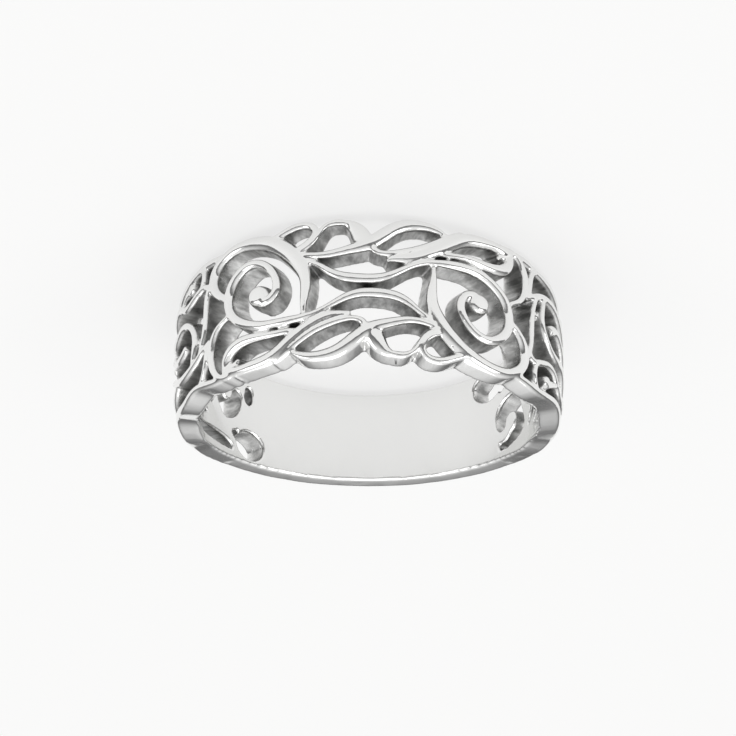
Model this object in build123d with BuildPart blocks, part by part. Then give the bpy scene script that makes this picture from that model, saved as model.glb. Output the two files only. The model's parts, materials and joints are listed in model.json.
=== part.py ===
from build123d import *
from collections import namedtuple
from math import atan2, ceil, cos, degrees, radians, sin
import os

# Openwork scroll ring, one casting in white gold: a plain tapered shank that opens, over the
# front three quarters, into pierced scrollwork of vines with rounded crests. Millimetres.
# While it is modelled, the finger axis is Z, the middle of the front faces -Y, and a place on
# the band is an angle round from that middle and a height across the band. At the end it is
# laid on its side, as it rests on a table.

# Driving sizes; head and shank are the middle of the front and of the back. The surface falls by
# edge_roll from the middle to the edges of the band, most of it close to them
bore_radius = 8.65
head_width = 7.6
shank_width = 5.0
head_wall = 1.42
shank_wall = 1.35
edge_roll = 0.3
edge_power = 4

# Scrollwork: front_spread opens its angles round the band, and vine_crown is how far the round
# crest of a vine of vine_width falls to its sides; other crests fall in proportion to their width,
# up to crown_limit times as far. Feet reach below the bore's surface until the bore is cut, vines'
# to depths that take turns, so that crossing feet share no face
front_spread = 1.04
vine_width = 0.5
vine_crown = 0.17
crown_limit = 2.0
foot_spread = 0.09
foot_depth = 0.3
foot_step = 0.05
foot_step_count = 4
station_spacing = 0.7
fewest_steps = 4

# Bulbs and the cutters of openings are straight posts, with a deeper foot; a cutter stands out
# of the bore's surface by cutter_rise
post_foot_depth = 0.6
cutter_rise = 2.7

# A bulb's section as it rises: share of its height, and share of its size
bulb_sections = [(0, 1.1), (0.82, 1), (0.95, 0.82), (1, 0.5)]

# Plain shank, from its start in degrees round to the same angle on the other side
shank_start = 128.0
shank_stations = 11
shank_crown = 0.12
shank_corner = 0.42

# Where the bore's one face is closed on itself, in degrees from the middle of the front
bore_seam = 60.0

# Lying on its side, the ring touches the front of its inner edge and the back of its outer edge
rest_run = 2 * bore_radius + shank_wall - shank_corner
rest_tilt = degrees(atan2((head_width - shank_width) / 2, rest_run))

Station = namedtuple("Station", "angle across width crest")
Knob = namedtuple("Knob", "angle across length width crest")
Opening = namedtuple("Opening", "angle across length width")


def blend(angle):
    """1 at the middle of the front, 0 at the back, for an angle in degrees."""
    return (1 + cos(radians(angle))) / 2


def half_width(angle):
    """Half of the band's width; even in blend, so that each edge of the ring lies in a plane."""
    return (shank_width + (head_width - shank_width) * blend(angle)) / 2


def wall(angle, across):
    """Height of the surface above the bore; the roll at its edges fades out round the back."""
    middle = shank_wall + (head_wall - shank_wall) * blend(angle)
    front = min(1, blend(angle) / blend(90))
    return middle - edge_roll * front * min(abs(across), 1) ** edge_power


def frame(angle, height, around_share, height_share):
    """Plane across a path on the bore's surface: x to its side, y straight out from the axis."""
    turn = radians(angle)
    out = Vector(sin(turn), -cos(turn), 0)
    around = Vector(cos(turn), sin(turn), 0)
    forward = (around * around_share + Vector(0, 0, 1) * height_share).normalized()
    return Plane(
        origin=out * bore_radius + Vector(0, 0, height), x_dir=out.cross(forward), z_dir=forward)


def row_place(knots, place):
    """Where a share of the path falls among the rows of its table, counted in rows."""
    for row in range(len(knots) - 1):
        if place <= knots[row + 1]:
            return row + (place - knots[row]) / (knots[row + 1] - knots[row])
    return len(knots) - 1


def column_at(values, at):
    """Value of a column between two rows of its table."""
    row = min(int(at), len(values) - 2)
    return values[row] + (values[row + 1] - values[row]) * (at - row)


def vine(rows, foot):
    """A vine lofted along the spline through its rows, with a foot that reaches into the bore."""
    stations = [Station(*row) for row in rows]
    widths = [row.width for row in stations]
    crests = [row.crest for row in stations]
    degree_run = radians(1) * (bore_radius + shank_wall)
    turns = [row.angle * front_spread for row in stations]
    points = [
        (turn * degree_run, row.across * half_width(turn)) for turn, row in zip(turns, stations)]
    with BuildLine():
        path = Spline(*points)
    knots = [path.param_at_point(point) for point in points]
    count = max(fewest_steps, ceil(path.length / station_spacing))
    with BuildPart() as body:
        for step in range(count + 1):
            spot = path.position_at(step / count, position_mode=PositionMode.PARAMETER)
            heading = path.tangent_at(step / count, position_mode=PositionMode.PARAMETER)
            at = row_place(knots, step / count)
            angle = spot.X / degree_run
            crest = column_at(crests, at) * wall(angle, spot.Y / half_width(angle))
            top = column_at(widths, at) * vine_width
            bottom = top + 2 * foot_spread
            shoulder = crest - vine_crown * min(crown_limit, top / vine_width)
            with BuildSketch(frame(angle, spot.Y, heading.X, heading.Y)):
                with BuildLine():
                    Line((-bottom / 2, -foot), (bottom / 2, -foot))
                    Line((bottom / 2, -foot), (top / 2, shoulder))
                    ThreePointArc((top / 2, shoulder), (0, crest), (-top / 2, shoulder))
                    Line((-top / 2, shoulder), (-bottom / 2, -foot))
                make_face()
        loft()
    return body.part


def radial_plane(angle, height, depth):
    """Plane that faces straight out, at a depth below the bore's surface: x runs round the band."""
    turn = radians(angle)
    out = Vector(sin(turn), -cos(turn), 0)
    return Plane(
        origin=out * (bore_radius - depth) + Vector(0, 0, height),
        x_dir=(cos(turn), sin(turn), 0), z_dir=out)


def bulb(row):
    """A domed knob of metal at the end of a spiral, standing straight out of the bore."""
    knob = Knob(*row)
    angle = knob.angle * front_spread
    foot = radial_plane(angle, knob.across * half_width(angle), post_foot_depth)
    height = post_foot_depth + knob.crest * wall(angle, knob.across)
    with BuildPart() as body:
        for rise, size in bulb_sections:
            with BuildSketch(foot.offset(rise * height)):
                Ellipse(knob.length * size * vine_width / 2, knob.width * size * vine_width / 2)
        loft()
    return body.part


def opening(row):
    """A straight elliptical post that cuts an opening through the wall."""
    hole = Opening(*row)
    angle = hole.angle * front_spread
    with BuildPart() as body:
        with BuildSketch(radial_plane(angle, hole.across * half_width(angle), post_foot_depth)):
            Ellipse(hole.length * shank_width / 2, hole.width * shank_width / 2)
        extrude(amount=post_foot_depth + cutter_rise)
    return body.part


# Vines of one half of the scrollwork; the other half is the same, turned half round about the
# middle of the front. Columns: angle round the band in degrees, height across the band as a
# share of its half width, width as a share of vine_width, and crest as a share of wall()
vines = {
    "top_edge": [
        (-21.6, 0.56, 0.5, 0.9), (-16, 0.49, 0.7, 0.98), (-12, 0.47, 0.8, 1), (-6, 0.52, 1, 1),
        (0, 0.61, 1.5, 1), (4, 0.74, 1.6, 1), (8, 0.87, 1.5, 1), (12, 0.93, 1.3, 1),
        (16, 0.94, 1.1, 1), (20, 0.9, 0.8, 0.98), (23, 0.82, 0.5, 0.9)],
    "petal": [
        (-0.5, 0.56, 0.8, 0.95), (-1.5, 0.68, 1.9, 0.99), (-3, 0.81, 1.8, 0.98),
        (-5.2, 0.91, 1.1, 0.96), (-8, 0.95, 0.6, 0.94)],
    "leaf_rib": [
        (1, 0.56, 0.6, 0.95), (5, 0.46, 0.6, 0.97), (8, 0.48, 0.7, 0.97), (12, 0.53, 0.8, 0.97),
        (16, 0.61, 0.8, 0.97), (20, 0.72, 0.8, 0.97), (24, 0.84, 0.8, 0.97), (28, 0.93, 0.7, 0.93)],
    "leaf_top": [
        (5, 0.36, 0.3, 0.88), (8, 0.39, 0.8, 0.98), (12, 0.42, 1.1, 1), (16, 0.5, 1.3, 1),
        (20, 0.61, 1.4, 1), (24, 0.74, 1.5, 1), (28, 0.85, 1.5, 1), (32, 0.9, 1.4, 1),
        (36, 0.92, 1.2, 1), (40, 0.93, 1.1, 1), (43, 0.91, 1, 1), (46, 0.87, 0.7, 0.96)],
    "leaf_bottom": [
        (44.6, 0.93, 0.6, 0.95), (45, 0.83, 0.9, 0.98), (44.3, 0.72, 1.1, 1),
        (42, 0.61, 1.3, 1), (37, 0.54, 1.2, 1), (32, 0.55, 0.9, 1), (27, 0.56, 0.7, 0.98),
        (22.5, 0.55, 0.6, 0.94), (19.5, 0.56, 0.4, 0.88)],
    "leaf_curl": [
        (45.6, 0.76, 0.5, 0.93), (43.4, 0.82, 0.55, 0.9), (41.6, 0.81, 0.55, 0.85),
        (40.4, 0.75, 0.5, 0.8)],
    "inner_scroll": [
        (-17.5, 0.46, 0.4, 0.9), (-15, 0.37, 0.6, 0.96), (-12, 0.26, 0.8, 1), (-8, 0.15, 1, 1),
        (-4, 0.11, 1.1, 1), (0, 0.1, 1.1, 1), (4, 0.12, 1, 1), (8, 0.2, 0.8, 1),
        (12, 0.3, 0.6, 1), (16, 0.37, 0.6, 1), (20, 0.4, 0.8, 1), (24, 0.41, 0.95, 1),
        (28, 0.41, 1, 1), (32, 0.39, 1.1, 1), (36, 0.32, 1.1, 1), (40, 0.2, 1.1, 1),
        (42.2, 0.08, 1.1, 1), (43.4, -0.07, 1.1, 1), (43.3, -0.22, 1.1, 1),
        (41.8, -0.38, 1.1, 1), (39, -0.5, 1.1, 1), (35.5, -0.56, 1, 1),
        (32, -0.53, 0.9, 1), (29, -0.43, 0.85, 1), (27, -0.29, 0.85, 1),
        (26.4, -0.15, 0.9, 0.99), (27.2, -0.03, 1, 0.98), (29, 0.03, 1.2, 0.97),
        (30.8, 0.01, 1.2, 0.95), (32.4, -0.04, 0.9, 0.9)],
    "outer_scroll": [
        (18.4, 0.36, 0.4, 0.9), (18.3, 0.22, 0.6, 0.97), (17.9, 0.08, 0.9, 1),
        (17.7, -0.08, 1.1, 1), (18.1, -0.24, 1.4, 1), (19.5, -0.39, 1.7, 1),
        (21.5, -0.53, 1.9, 1), (24, -0.65, 1.9, 1), (28, -0.79, 1.8, 1), (32, -0.87, 1.6, 1),
        (36, -0.92, 1.4, 1), (40, -0.94, 1.3, 1), (44, -0.92, 1.2, 1), (47, -0.86, 1.2, 1),
        (49.5, -0.76, 1.2, 1), (50.5, -0.63, 1.2, 1), (50.2, -0.5, 1.2, 1),
        (49, -0.39, 1.1, 1), (47.3, -0.3, 1, 1), (45.5, -0.23, 0.8, 0.98), (43.6, -0.17, 0.6, 0.94)],
    "hook": [
        (41, 0.98, 0.6, 0.95), (44, 0.97, 0.7, 1), (47, 0.95, 0.7, 1), (49.2, 0.88, 0.75, 1),
        (50.5, 0.76, 0.8, 1), (50.9, 0.62, 0.8, 1), (50.6, 0.48, 0.8, 1), (49.8, 0.37, 0.75, 1),
        (48.4, 0.26, 0.7, 1), (46.5, 0.18, 0.65, 0.99), (44.2, 0.11, 0.6, 0.96),
        (42.6, 0.06, 0.5, 0.93)],
    "under_loop": [
        (4, -0.92, 0.5, 0.93), (6.5, -0.94, 0.7, 1), (9, -0.95, 0.7, 1), (11.5, -0.93, 0.6, 1),
        (13.3, -0.86, 0.55, 1), (14.3, -0.77, 0.55, 1), (15.8, -0.68, 0.55, 1),
        (18, -0.6, 0.5, 0.98), (20.9, -0.5, 0.4, 0.9)],
    "edge_loop": [
        (21.8, -0.56, 0.5, 0.9), (18.6, -0.64, 0.6, 0.98), (16.6, -0.7, 0.65, 1),
        (15.3, -0.79, 0.65, 1), (15.4, -0.89, 0.7, 1), (17.2, -0.96, 0.8, 1),
        (20, -0.98, 0.85, 1), (23, -0.95, 0.85, 1), (26, -0.89, 0.8, 0.98), (29, -0.82, 0.6, 0.93)],
    "upper_rim": [
        (45, 0.93, 0.6, 0.93), (49, 0.96, 0.9, 0.97), (54, 0.94, 1, 1), (60, 0.91, 0.8, 1),
        (66, 0.94, 0.9, 1), (73, 0.96, 1, 1), (80, 0.92, 0.9, 1), (87, 0.9, 0.8, 1),
        (94, 0.94, 1, 1), (101, 0.95, 1, 1), (108, 0.92, 0.9, 1), (115, 0.92, 0.8, 0.99),
        (120, 0.91, 0.8, 0.97), (125, 0.9, 0.8, 0.93), (130, 0.88, 0.8, 0.87)],
    "lower_rim": [
        (44, -0.92, 0.6, 0.93), (49, -0.92, 0.9, 0.97), (54, -0.95, 1, 1), (60, -0.96, 1, 1),
        (67, -0.93, 0.9, 1), (74, -0.9, 0.9, 1), (81, -0.92, 1, 1), (88, -0.95, 1, 1),
        (95, -0.94, 0.9, 1), (102, -0.91, 0.9, 1), (109, -0.93, 0.9, 1), (115, -0.92, 0.8, 0.99),
        (120, -0.91, 0.8, 0.97), (125, -0.9, 0.8, 0.93), (130, -0.88, 0.8, 0.87)],
    "side_leaf": [
        (50.6, 0.33, 0.5, 0.95), (52.2, 0.45, 0.6, 1), (53, 0.58, 0.7, 1), (54, 0.72, 0.75, 1),
        (56, 0.84, 0.7, 0.99), (58.5, 0.92, 0.6, 0.96)],
    "side_scroll": [
        (51, 0.33, 0.6, 0.95), (54, 0.42, 0.7, 1), (57.5, 0.5, 0.8, 1), (61, 0.56, 0.85, 1),
        (65, 0.59, 0.9, 1), (69, 0.59, 0.9, 1), (73, 0.56, 0.9, 1), (78, 0.47, 0.9, 1),
        (84, 0.34, 0.9, 1), (90, 0.2, 0.9, 1), (96, 0.03, 0.9, 1), (101, -0.15, 0.9, 1),
        (104.5, -0.32, 0.8, 1)],
    "side_ring": [
        (62.5, 0.6, 0.6, 0.95), (60.8, 0.45, 0.7, 0.98), (59.6, 0.28, 0.75, 1),
        (59.5, 0.12, 0.75, 1), (60.8, -0.02, 0.75, 1), (63, -0.13, 0.75, 1),
        (66, -0.21, 0.8, 1), (69.5, -0.24, 0.85, 1), (74, -0.22, 0.9, 1), (79, -0.21, 0.9, 1),
        (85, -0.28, 0.85, 1), (91, -0.42, 0.8, 1), (97, -0.58, 0.8, 1), (102, -0.73, 0.8, 1),
        (107, -0.87, 0.8, 0.97)],
    "side_tongue": [
        (66, 0.13, 0.9, 0.95), (67.5, 0.18, 1.1, 0.98), (70, 0.22, 0.9, 1), (74, 0.2, 0.8, 1),
        (79, 0.12, 0.75, 1), (84, -0.03, 0.75, 1), (88, -0.22, 0.7, 0.98), (91, -0.42, 0.6, 0.95)],
    "side_bud": [
        (94, 0.06, 0.5, 0.95), (91.5, -0.04, 0.6, 0.98), (89, -0.02, 0.9, 1),
        (87.4, 0.05, 0.9, 0.96)],
    "side_stem": [
        (56.8, 0.5, 0.5, 0.95), (55, 0.32, 0.6, 1), (53.8, 0.15, 0.6, 1), (53.3, -0.02, 0.6, 1),
        (53.1, -0.2, 0.6, 1), (52.7, -0.37, 0.6, 1), (51.6, -0.52, 0.6, 0.98),
        (50, -0.66, 0.5, 0.94)],
    "side_web": [
        (53.6, 0.25, 0.8, 0.8), (56.5, 0.24, 1.2, 0.82), (60, 0.2, 0.8, 0.8)],
    "low_ring": [
        (52.5, -0.46, 0.5, 0.95), (54.5, -0.57, 0.6, 0.98), (57.5, -0.56, 0.7, 1),
        (61, -0.5, 0.75, 1), (65, -0.49, 0.75, 1), (68.5, -0.53, 0.75, 1),
        (71.5, -0.63, 0.75, 1), (75, -0.7, 0.8, 1), (80, -0.71, 0.8, 1), (86, -0.7, 0.75, 1),
        (92, -0.74, 0.75, 1), (98, -0.82, 0.75, 1), (104, -0.9, 0.7, 0.96)],
    "low_curl": [
        (57.5, -0.52, 0.5, 0.95), (55.8, -0.63, 0.6, 0.98), (55.3, -0.76, 0.6, 1),
        (56.4, -0.88, 0.6, 1), (59, -0.96, 0.6, 0.98)],
    "low_bulb": [
        (61.5, -0.76, 1.1, 0.95), (64, -0.75, 1.1, 0.98), (67, -0.72, 0.7, 0.98),
        (70, -0.68, 0.5, 0.96), (73, -0.66, 0.4, 0.93)],
    "back_leaf": [
        (74, 0.52, 0.62, 0.95), (79, 0.62, 0.88, 1), (86, 0.68, 1, 1), (93, 0.66, 1, 1),
        (100, 0.58, 1.2, 1), (106, 0.52, 1.3, 1), (112, 0.5, 1.3, 1), (117, 0.54, 1.1, 1),
        (120.5, 0.65, 0.9, 1), (122.2, 0.79, 0.8, 0.98), (122.4, 0.92, 0.6, 0.93)],
    "back_branch": [
        (91, 0.17, 0.62, 0.95), (96, 0.23, 1, 1), (102, 0.27, 1.3, 1), (108, 0.3, 1.2, 1),
        (112, 0.33, 0.7, 0.94)],
    "back_ring": [
        (105, -0.55, 0.8, 0.95), (106, -0.3, 1, 1), (107.7, -0.04, 1.2, 1),
        (110.8, 0.2, 1.2, 1), (115, 0.34, 1.2, 1), (120, 0.31, 1.2, 1), (124.3, 0.14, 1.1, 1),
        (126.5, -0.1, 1.1, 1), (126.6, -0.33, 1.1, 1), (124.8, -0.5, 1.1, 1),
        (121.6, -0.56, 1.2, 1), (118.8, -0.5, 1.3, 0.98), (117, -0.4, 1.1, 0.92)],
    "back_foot": [
        (101.5, -0.2, 0.75, 0.94), (103.3, -0.45, 0.94, 0.99), (106.2, -0.65, 0.94, 1),
        (110, -0.78, 0.9, 1), (114, -0.84, 0.8, 0.98), (118, -0.87, 0.6, 0.92)],
}

# Bulbs of one half. Columns: angle, across, length round the band and width across it as shares
# of vine_width, and crest
bulbs = {
    "scroll_bulb": (32.4, -0.06, 2.5, 2.3, 1),
    "low_ring_bulb": (63.4, -0.75, 1.5, 1.5, 0.98),
    "back_ring_bulb": (116.4, -0.32, 2.1, 2.3, 1),
}

# Openings where the scrollwork meets the shank. Columns: angle, across, and length round the band
# and width across it as shares of shank_width. The last ring of the scrollwork stands in the ring
# openings, so they are cut from the shank alone; the others go through the whole wall. The slit
# is at one end of the scrollwork only
ring_openings = {
    "ring_opening": (116.8, -0.22, 0.56, 0.56),
    "ring_opening_turned": (-116.8, 0.22, 0.56, 0.56),
}
heel_openings = {
    "leaf_opening": (128.7, 0.62, 0.4, 0.31),
    "leaf_opening_turned": (-128.7, -0.62, 0.4, 0.31),
    "slit": (128, -0.42, 0.13, 0.2),
}


vine_solids = []
for order, name in enumerate(vines):
    vine_solids.append(vine(vines[name], foot_depth + foot_step * (order % foot_step_count)))

with BuildPart() as half_scrollwork:
    add(vine_solids + [bulb(row) for row in bulbs.values()])

# Plain shank round the back, lofted through sections that face along the band
with BuildPart() as shank:
    for step in range(shank_stations):
        angle = shank_start + (360 - 2 * shank_start) * step / (shank_stations - 1)
        side = half_width(angle)
        top = wall(angle, 0)
        flank = top - shank_crown - shank_corner
        flat = side - shank_corner
        round_in = shank_corner * (1 - cos(radians(45)))
        with BuildSketch(frame(angle, 0, 1, 0)):
            with BuildLine():
                Line((-side, -foot_depth), (side, -foot_depth))
                Line((side, -foot_depth), (side, flank))
                ThreePointArc(
                    (side, flank), (side - round_in, flank + shank_corner - round_in),
                    (flat, flank + shank_corner))
                ThreePointArc((flat, flank + shank_corner), (0, top), (-flat, flank + shank_corner))
                ThreePointArc(
                    (-flat, flank + shank_corner), (round_in - side, flank + shank_corner - round_in),
                    (-side, flank))
                Line((-side, flank), (-side, -foot_depth))
            make_face()
    loft()
    add([opening(row) for row in ring_openings.values()], mode=Mode.SUBTRACT)

# Both halves and the shank joined, then the bore and the openings cut
with BuildPart() as scroll_ring:
    add([half_scrollwork.part, half_scrollwork.part.rotate(Axis.Y, 180), shank.part])
    with BuildSketch(Plane.XY.offset(-head_width).rotated((0, 0, bore_seam - 90))):
        Circle(bore_radius)
    extrude(amount=2 * head_width, mode=Mode.SUBTRACT)
    add([opening(row) for row in heel_openings.values()], mode=Mode.SUBTRACT)

# Laid on its side, standing on Z = 0 and centred over the origin
laid = scroll_ring.part.rotate(Axis.X, -rest_tilt)
box = laid.bounding_box()
laid = laid.translate((-box.center().X, -box.center().Y, -box.min.Z))
laid.label = "scroll_ring"
os.makedirs("parts", exist_ok=True)
export_step(laid, "parts/scroll_ring.step")
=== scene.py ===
# Openwork scroll ring in white gold, lying on its side on a pale table
import json
import math

import bmesh
import bpy
from mathutils import Matrix, Vector, noise
from mathutils.bvhtree import BVHTree


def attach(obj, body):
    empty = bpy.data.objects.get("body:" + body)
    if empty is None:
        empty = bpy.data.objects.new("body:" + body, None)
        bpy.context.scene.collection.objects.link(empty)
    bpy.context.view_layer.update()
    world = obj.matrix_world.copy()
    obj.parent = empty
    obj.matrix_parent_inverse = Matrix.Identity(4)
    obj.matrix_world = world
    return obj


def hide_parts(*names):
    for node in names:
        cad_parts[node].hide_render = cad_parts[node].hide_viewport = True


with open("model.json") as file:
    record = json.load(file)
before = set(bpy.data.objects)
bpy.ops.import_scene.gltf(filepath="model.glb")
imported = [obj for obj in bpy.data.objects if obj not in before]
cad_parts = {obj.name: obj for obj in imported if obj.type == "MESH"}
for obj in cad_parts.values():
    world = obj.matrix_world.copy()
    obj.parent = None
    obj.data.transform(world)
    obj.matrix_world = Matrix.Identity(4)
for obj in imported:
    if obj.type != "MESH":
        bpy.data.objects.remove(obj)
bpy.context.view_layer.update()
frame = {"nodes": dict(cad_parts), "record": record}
mm = 0.001
print("frame loaded")


def toLinear(hexColour):
    # sRGB hex to the linear colour that a shader wants
    channels = [int(hexColour[i:i + 2], 16) / 255 for i in (1, 3, 5)]
    return [c / 12.92 if c <= 0.04045 else ((c + 0.055) / 1.055) ** 2.4 for c in channels] + [1]


def addNode(tree, kind, settings=None, inputs=None):
    # a socket given as an input is linked, any other value is set on the node's own input
    node = tree.nodes.new(kind)
    for name, value in (settings or {}).items():
        setattr(node, name, value)
    for name, value in (inputs or {}).items():
        if isinstance(value, bpy.types.NodeSocket):
            tree.links.new(value, node.inputs[name])
        else:
            node.inputs[name].default_value = value
    return node


def smoothStep(low, high, value):
    share = min(max((value - low) / (high - low), 0), 1)
    return share * share * (3 - 2 * share)


# The finger hole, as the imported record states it
fingerHole = next(mount for mount in frame["record"]["mounts"] if mount["name"] == "finger")
holeCentre = Vector(fingerHole["pos_m"])
holeAxis = Vector(fingerHole["axis"]).normalized()
holeRadius = fingerHole["dims"]["r_mm"] * mm
# from the hole's centre to the middle of the ornament
frontWay = (Vector((0, -1, 0)) + holeAxis * holeAxis.y).normalized()

# The casting: the frame's ring with its edges rounded as a polishing wheel leaves them
casting = {
    "weldMm": 0.0005,       # corners of the frame's loose triangles this close are one
    "gridMm": 0.06,         # how finely the metal is rebuilt
    "roundingPasses": 6,    # each takes a little off every edge
    "roundingShare": 0.5,
    "triangles": 190000,    # of the finished ring
    "comfortMm": 0.35,      # edges this close to the hole get more passes, so a finger slides in
    "comfortPasses": 14,
    "boreNearMm": 0.012,    # skin this close to the hole's wall is laid back on it, and skin
    "boreFarMm": 0.045,     # this far from it is left as it is
    "reachMm": 3.0,         # metal with a neighbour nearer than this is hard to polish, and is painted in shade
    "reachRays": 14,
    "rayStartMm": 0.02,     # a ray starts this far off the skin, so that it misses its own face
    "roughLow": 0.24,       # share of blocked rays where the as-cast skin, with its painted shade, begins, and where all of the skin is as cast and painted in shade
    "roughHigh": 0.52,      # and where all of the skin is as cast
    "blendPasses": 2,       # how softly the two finishes meet
    "castPitMm": 0.28,      # size and depth of the unevenness that the mould leaves,
    "castDepthMm": 0.014,
    "handWaveMm": 1.3,      # and of the slow waves that polishing by hand leaves outside the hole
    "handDepthMm": 0.016,
}


def raysAround(count):
    # directions spread evenly over a half ball about +Z, denser toward its pole
    golden = math.pi * (3 - math.sqrt(5))
    rays = []
    for i in range(count):
        rise = math.sqrt(1 - (i + 0.5) / count)
        flat = math.sqrt(1 - rise * rise)
        rays.append(Vector((flat * math.cos(i * golden), flat * math.sin(i * golden), rise)))
    return rays


def outOfHole(place):
    # from the hole's axis straight out to a place
    offset = place - holeCentre
    return offset - holeAxis * offset.dot(holeAxis)


def evaluated(holder):
    # a new mesh with what the modifiers make of the object
    return bpy.data.meshes.new_from_object(
        holder.evaluated_get(bpy.context.evaluated_depsgraph_get()))


def rebuildCasting(node):
    # the frame's loose triangles are welded and put on a fine grid, in millimetres
    welded = bmesh.new()
    welded.from_mesh(node.data)
    bmesh.ops.remove_doubles(welded, verts=welded.verts, dist=casting["weldMm"] * mm)
    bmesh.ops.scale(welded, vec=(1 / mm, 1 / mm, 1 / mm), verts=welded.verts)
    coarse = bpy.data.meshes.new("ringCoarse")
    welded.to_mesh(coarse)
    welded.free()
    holder = bpy.data.objects.new("ringCoarse", coarse)
    bpy.context.scene.collection.objects.link(holder)
    grid = holder.modifiers.new("grid", "REMESH")
    grid.mode = "VOXEL"
    grid.voxel_size = casting["gridMm"]
    rounding = holder.modifiers.new("rounding", "SMOOTH")
    rounding.factor = casting["roundingShare"]
    rounding.iterations = casting["roundingPasses"]
    fine = evaluated(holder)
    holder.modifiers.clear()

    # the edges along the finger hole get more of the same
    edges = bmesh.new()
    edges.from_mesh(fine)
    reach = holeRadius + casting["comfortMm"] * mm
    nearHole = [vert for vert in edges.verts if outOfHole(vert.co * mm).length < reach]
    for step in range(casting["comfortPasses"]):
        bmesh.ops.smooth_vert(
            edges, verts=nearHole, factor=casting["roundingShare"],
            use_axis_x=True, use_axis_y=True, use_axis_z=True)
    edges.to_mesh(fine)
    edges.free()

    # a face of the grid has four sides, so it counts as two triangles
    holder.data = fine
    thinning = holder.modifiers.new("thinning", "DECIMATE")
    thinning.ratio = casting["triangles"] / (2 * len(fine.polygons))
    thinned = evaluated(holder)
    bpy.data.objects.remove(holder)
    return thinned


def finishCasting(mesh):
    # back to metres, the hole's wall made true, and the skin sorted into polished and as cast, the
    # as-cast share also serving as painted shade in the recesses
    body = bmesh.new()
    body.from_mesh(mesh)
    bmesh.ops.triangulate(body, faces=body.faces)
    # the thinning leaves a few pairs of triangles that lie on one another and touch nothing else
    folded = [
        face for face in body.faces
        if len({other for edge in face.edges for other in edge.link_faces}) == 2]
    bmesh.ops.delete(body, geom=folded, context="FACES")
    body.verts.index_update()
    bmesh.ops.scale(body, vec=(mm, mm, mm), verts=body.verts)

    boreNear = casting["boreNearMm"] * mm
    boreFar = casting["boreFarMm"] * mm
    onHole = []
    for vert in body.verts:
        out = outOfHole(vert.co)
        gap = out.length - holeRadius
        onHole.append(1 - smoothStep(boreNear, boreFar, abs(gap)))
        vert.co -= out.normalized() * gap * onHole[-1]
    body.normal_update()

    tree = BVHTree.FromBMesh(body)
    rays = raysAround(casting["reachRays"])
    reach = casting["reachMm"] * mm
    rayStart = casting["rayStartMm"] * mm
    blocked = []
    for vert in body.verts:
        turn = vert.normal.to_track_quat("Z", "Y")
        start = vert.co + vert.normal * rayStart
        hits = sum(tree.ray_cast(start, turn @ ray, reach)[0] is not None for ray in rays)
        blocked.append(hits / len(rays))
    # each vertex takes the mean of itself and its neighbours, so the two finishes, and the painted
    # shade with them, meet softly
    around = [
        [vert.index] + [edge.other_vert(vert).index for edge in vert.link_edges]
        for vert in body.verts]
    for step in range(casting["blendPasses"]):
        blocked = [sum(blocked[i] for i in near) / len(near) for near in around]
    # the same share of blocked rays darkens the colour in the material: painted shade in the
    # recesses, on top of the rougher as-cast skin
    cast = [smoothStep(casting["roughLow"], casting["roughHigh"], share) for share in blocked]

    pit = casting["castPitMm"] * mm
    pitDepth = casting["castDepthMm"] * mm
    wave = casting["handWaveMm"] * mm
    waveDepth = casting["handDepthMm"] * mm
    for vert in body.verts:
        shift = noise.noise(vert.co / pit) * pitDepth * cast[vert.index]
        shift += noise.noise(vert.co / wave) * waveDepth
        vert.co += vert.normal * shift * (1 - onHole[vert.index])
    body.to_mesh(mesh)
    body.free()
    skin = mesh.attributes.new("asCastAndShade", "FLOAT", "POINT")
    skin.data.foreach_set("value", cast)
    mesh.polygons.foreach_set("use_smooth", [True] * len(mesh.polygons))
    mesh.update()


# White gold, bright where the wheel reached and grey in the recesses, where the grey is partly the
# rougher as-cast skin and partly painted shade: the deep walls keep the streaks that the wax was
# drawn out with and the fine pits of the mould
whiteGold = {
    "polished": "#ECECEB",
    "polishedRoughness": 0.07,
    "buffRoughness": 0.15,      # the gloss goes from the one to the other in slow patches:
    "buffMm": 2.2,              # their size, and the range of the pattern that they take up
    "buffRange": (0.35, 0.65),
    "asCastAndShade": "#D4D4D3",
    "stainAndShade": "#8E8E8D",
    "castRoughness": 0.36,
    "streakMm": 0.36,           # streaks across the band, and how far each runs outwards
    "streakLength": 2.6,
    "streakDetail": 3,
    "streakRoughness": 0.6,
    "stainRange": (0.34, 0.66),
    "pitMm": 0.07,              # the mould's grain, drawn coarser than plaster so that it shows
    "pitDepthMm": 0.012,
    "pitStrength": 0.7,
    "softDetail": 1,            # of the pits and of the gloss, which are both soft patterns
}


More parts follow.
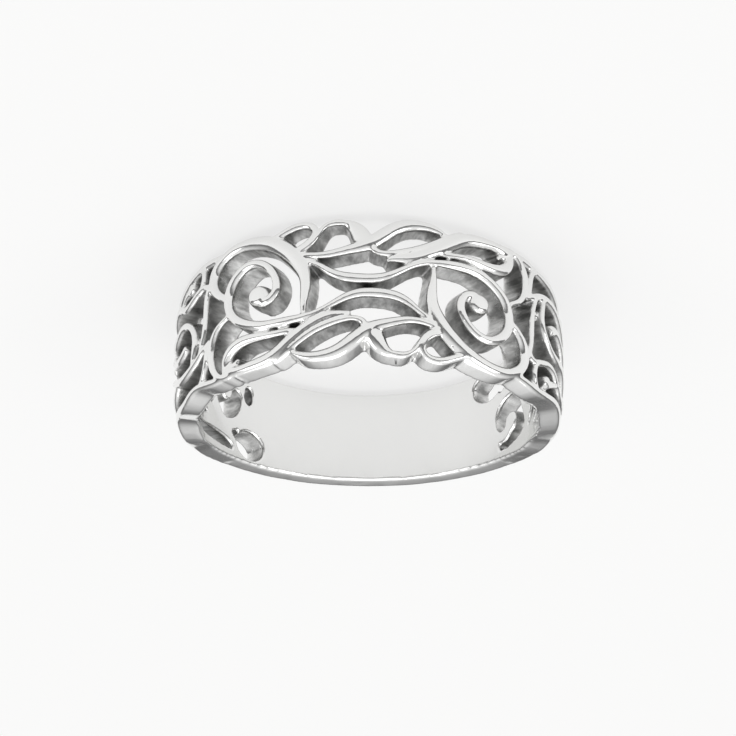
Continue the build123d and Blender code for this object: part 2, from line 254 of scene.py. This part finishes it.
def makeWhiteGold():
    material = bpy.data.materials.new("polishedWhiteGold")
    material.use_nodes = True
    tree = material.node_tree
    tree.nodes.clear()
    upright = holeAxis.rotation_difference(Vector((0, 0, 1)))
    place = addNode(tree, "ShaderNodeTexCoord")
    skin = addNode(tree, "ShaderNodeAttribute", {"attribute_name": "asCastAndShade"})

    # the place seen from the finger hole: out is its way from the axis, and rise its place along it
    fromHole = addNode(tree, "ShaderNodeMapping", None, {
        "Vector": place.outputs["Object"], "Location": -(upright @ holeCentre),
        "Rotation": upright.to_euler()})
    flat = addNode(tree, "ShaderNodeVectorMath", {"operation": "MULTIPLY"}, {
        0: fromHole.outputs["Vector"], 1: (1, 1, 0)})
    rise = addNode(tree, "ShaderNodeVectorMath", {"operation": "MULTIPLY"}, {
        0: fromHole.outputs["Vector"], 1: (0, 0, 1)})
    out = addNode(tree, "ShaderNodeVectorMath", {"operation": "NORMALIZE"}, {
        0: flat.outputs["Vector"]})
    radius = addNode(tree, "ShaderNodeVectorMath", {"operation": "LENGTH"}, {
        0: flat.outputs["Vector"]})
    squeezed = addNode(tree, "ShaderNodeMapRange", {"clamp": False}, {
        "Value": radius.outputs["Value"], "From Min": holeRadius, "From Max": 2 * holeRadius,
        "To Min": holeRadius, "To Max": holeRadius * (1 + 1 / whiteGold["streakLength"])})
    streakOut = addNode(tree, "ShaderNodeVectorMath", {"operation": "SCALE"}, {
        0: out.outputs["Vector"], "Scale": squeezed.outputs["Result"]})
    streakPlace = addNode(tree, "ShaderNodeVectorMath", {"operation": "ADD"}, {
        0: streakOut.outputs["Vector"], 1: rise.outputs["Vector"]})
    streaks = addNode(tree, "ShaderNodeTexNoise", None, {
        "Vector": streakPlace.outputs["Vector"], "Scale": 1 / (whiteGold["streakMm"] * mm),
        "Detail": whiteGold["streakDetail"], "Roughness": whiteGold["streakRoughness"]})
    pits = addNode(tree, "ShaderNodeTexNoise", None, {
        "Vector": place.outputs["Object"], "Scale": 1 / (whiteGold["pitMm"] * mm),
        "Detail": whiteGold["softDetail"]})
    buff = addNode(tree, "ShaderNodeTexNoise", None, {
        "Vector": place.outputs["Object"], "Scale": 1 / (whiteGold["buffMm"] * mm),
        "Detail": whiteGold["softDetail"]})

    # a mix of colours takes its share at input 0 and the two colours at 6 and 7, and a mix of
    # numbers takes them at 0, 2 and 3
    stainShare = addNode(tree, "ShaderNodeMapRange", None, {
        "Value": streaks.outputs["Fac"], "From Min": whiteGold["stainRange"][0],
        "From Max": whiteGold["stainRange"][1]})
    # the cast colours, much darker than the polished metal, are partly the as-cast skin and partly
    # painted shade; the streaks between them are random tone
    castAndShadeColour = addNode(tree, "ShaderNodeMix", {"data_type": "RGBA"}, {
        0: stainShare.outputs["Result"], 6: toLinear(whiteGold["stainAndShade"]),
        7: toLinear(whiteGold["asCastAndShade"])})
    # the recesses take the darker colour by their share of blocked rays: painted shade
    colour = addNode(tree, "ShaderNodeMix", {"data_type": "RGBA"}, {
        0: skin.outputs["Fac"], 6: toLinear(whiteGold["polished"]), 7: castAndShadeColour.outputs[2]})
    gloss = addNode(tree, "ShaderNodeMapRange", None, {
        "Value": buff.outputs["Fac"], "From Min": whiteGold["buffRange"][0],
        "From Max": whiteGold["buffRange"][1], "To Min": whiteGold["polishedRoughness"],
        "To Max": whiteGold["buffRoughness"]})
    roughness = addNode(tree, "ShaderNodeMix", {"data_type": "FLOAT"}, {
        0: skin.outputs["Fac"], 2: gloss.outputs["Result"], 3: whiteGold["castRoughness"]})
    grain = addNode(tree, "ShaderNodeMath", {"operation": "MULTIPLY"}, {
        0: pits.outputs["Fac"], 1: skin.outputs["Fac"]})
    relief = addNode(tree, "ShaderNodeBump", None, {
        "Height": grain.outputs[0], "Strength": whiteGold["pitStrength"],
        "Distance": whiteGold["pitDepthMm"] * mm})
    metal = addNode(tree, "ShaderNodeBsdfPrincipled", None, {
        "Base Color": colour.outputs[2], "Metallic": 1, "Roughness": roughness.outputs[0],
        "Normal": relief.outputs["Normal"]})
    addNode(tree, "ShaderNodeOutputMaterial", None, {"Surface": metal.outputs["BSDF"]})
    return material


ringMesh = rebuildCasting(frame["nodes"]["scroll_ring"])
print("casting rebuilt,", len(ringMesh.polygons), "faces")
finishCasting(ringMesh)
ringMesh.materials.clear()
ringMesh.materials.append(makeWhiteGold())
ring = bpy.data.objects.new("scrollRing", ringMesh)
bpy.context.scene.collection.objects.link(ring)
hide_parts("scroll_ring")
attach(ring, "root")
print("ring finished,", len(ringMesh.polygons), "faces")

# Table and studio. The table is a sheet of white acrylic, sanded matt, so it reflects nothing
# sharply, and it is lit from below, so that shadows on it stay faint.
studio = {
    "tableHalfM": 1.0,
    "tableColour": "#8E8E8D",
    "tableGlow": 0.615,
    "glowColour": "#FFFFFF",
    "tableRoughness": 0.6,
    "skyColour": "#FFFFFF",
    "horizonStrength": 0.17,    # a white tent round the table, dark low down and bright overhead
    "zenithStrength": 0.93,
    "horizonRise": 0.04,        # heights, as the sine of the angle up, where it begins to brighten
    "tentRise": 0.75,           # and where it is at its brightest
    "boxes": [
        # place and side in metres
        {"name": "overhead", "place": (0.0, 0.05, 0.45), "side": 0.5, "watts": 0.75},
        {"name": "left", "place": (-0.4, -0.15, 0.22), "side": 0.25, "watts": 0.32},
        {"name": "right", "place": (0.4, -0.15, 0.22), "side": 0.25, "watts": 0.24},
    ],
}


def makeFloor():
    material = bpy.data.materials.new("sandedAcrylic")
    material.use_nodes = True
    tree = material.node_tree
    tree.nodes.clear()
    surface = addNode(tree, "ShaderNodeBsdfPrincipled", None, {
        "Base Color": toLinear(studio["tableColour"]), "Roughness": studio["tableRoughness"],
        "Emission Color": toLinear(studio["glowColour"]), "Emission Strength": studio["tableGlow"]})
    addNode(tree, "ShaderNodeOutputMaterial", None, {"Surface": surface.outputs["BSDF"]})
    shape = bmesh.new()
    bmesh.ops.create_grid(shape, x_segments=1, y_segments=1, size=studio["tableHalfM"])
    mesh = bpy.data.meshes.new("table")
    shape.to_mesh(mesh)
    shape.free()
    mesh.materials.append(material)
    floor = bpy.data.objects.new("table", mesh)
    bpy.context.scene.collection.objects.link(floor)


def makeLights():
    world = bpy.data.worlds.new("studio")
    bpy.context.scene.world = world
    world.use_nodes = True
    tree = world.node_tree
    tree.nodes.clear()
    way = addNode(tree, "ShaderNodeTexCoord")
    rise = addNode(tree, "ShaderNodeSeparateXYZ", None, {0: way.outputs["Generated"]})
    strength = addNode(tree, "ShaderNodeMapRange", {"interpolation_type": "SMOOTHSTEP"}, {
        "Value": rise.outputs["Z"], "From Min": studio["horizonRise"], "From Max": studio["tentRise"],
        "To Min": studio["horizonStrength"], "To Max": studio["zenithStrength"]})
    sky = addNode(tree, "ShaderNodeBackground", None, {
        "Color": toLinear(studio["skyColour"]), "Strength": strength.outputs["Result"]})
    addNode(tree, "ShaderNodeOutputWorld", None, {"Surface": sky.outputs["Background"]})
    for box in studio["boxes"]:
        lamp = bpy.data.lights.new(box["name"], "AREA")
        lamp.size = box["side"]
        lamp.energy = box["watts"]
        light = bpy.data.objects.new(box["name"], lamp)
        light.location = box["place"]
        light.rotation_euler = (-Vector(box["place"])).to_track_quat("-Z", "Y").to_euler()
        bpy.context.scene.collection.objects.link(light)


# The photograph looks along the finger hole from the ornament's side, with the ornament at the
# top of the picture. On a lying ring that is a camera above the table, held upside down.
photoCamera = {
    "liftDegrees": 24.65,         # above the plane of the ring
    "distanceMm": 200,
    "aimBehindHoleMm": 0.45,      # it is aimed this far behind the hole's centre
    "lensMm": 189.85,
    "sensorMm": 36,
    "clipStartMm": 1,
    "pictureSide": 736,           # in pixels, and the pixel where the aimed place is seen
    "aimPixel": (368.59, 372.98),
}


def makeCamera():
    lift = math.radians(photoCamera["liftDegrees"])
    back = frontWay * math.cos(lift) + holeAxis * math.sin(lift)
    up = frontWay * math.sin(lift) - holeAxis * math.cos(lift)
    right = up.cross(back)
    aim = holeCentre - frontWay * photoCamera["aimBehindHoleMm"] * mm
    side = photoCamera["pictureSide"]
    data = bpy.data.cameras.new("photoCamera")
    data.sensor_width = photoCamera["sensorMm"]
    data.lens = photoCamera["lensMm"]
    data.shift_x = (side / 2 - photoCamera["aimPixel"][0]) / side
    data.shift_y = (photoCamera["aimPixel"][1] - side / 2) / side
    data.clip_start = photoCamera["clipStartMm"] * mm
    camera = bpy.data.objects.new("photoCamera", data)
    turn = Matrix((right, up, back)).transposed().to_4x4()
    camera.matrix_world = Matrix.Translation(aim + back * photoCamera["distanceMm"] * mm) @ turn
    bpy.context.scene.collection.objects.link(camera)
    bpy.context.scene.camera = camera


makeFloor()
makeLights()
makeCamera()
bpy.context.scene.view_settings.view_transform = "Standard"
print("studio ready")
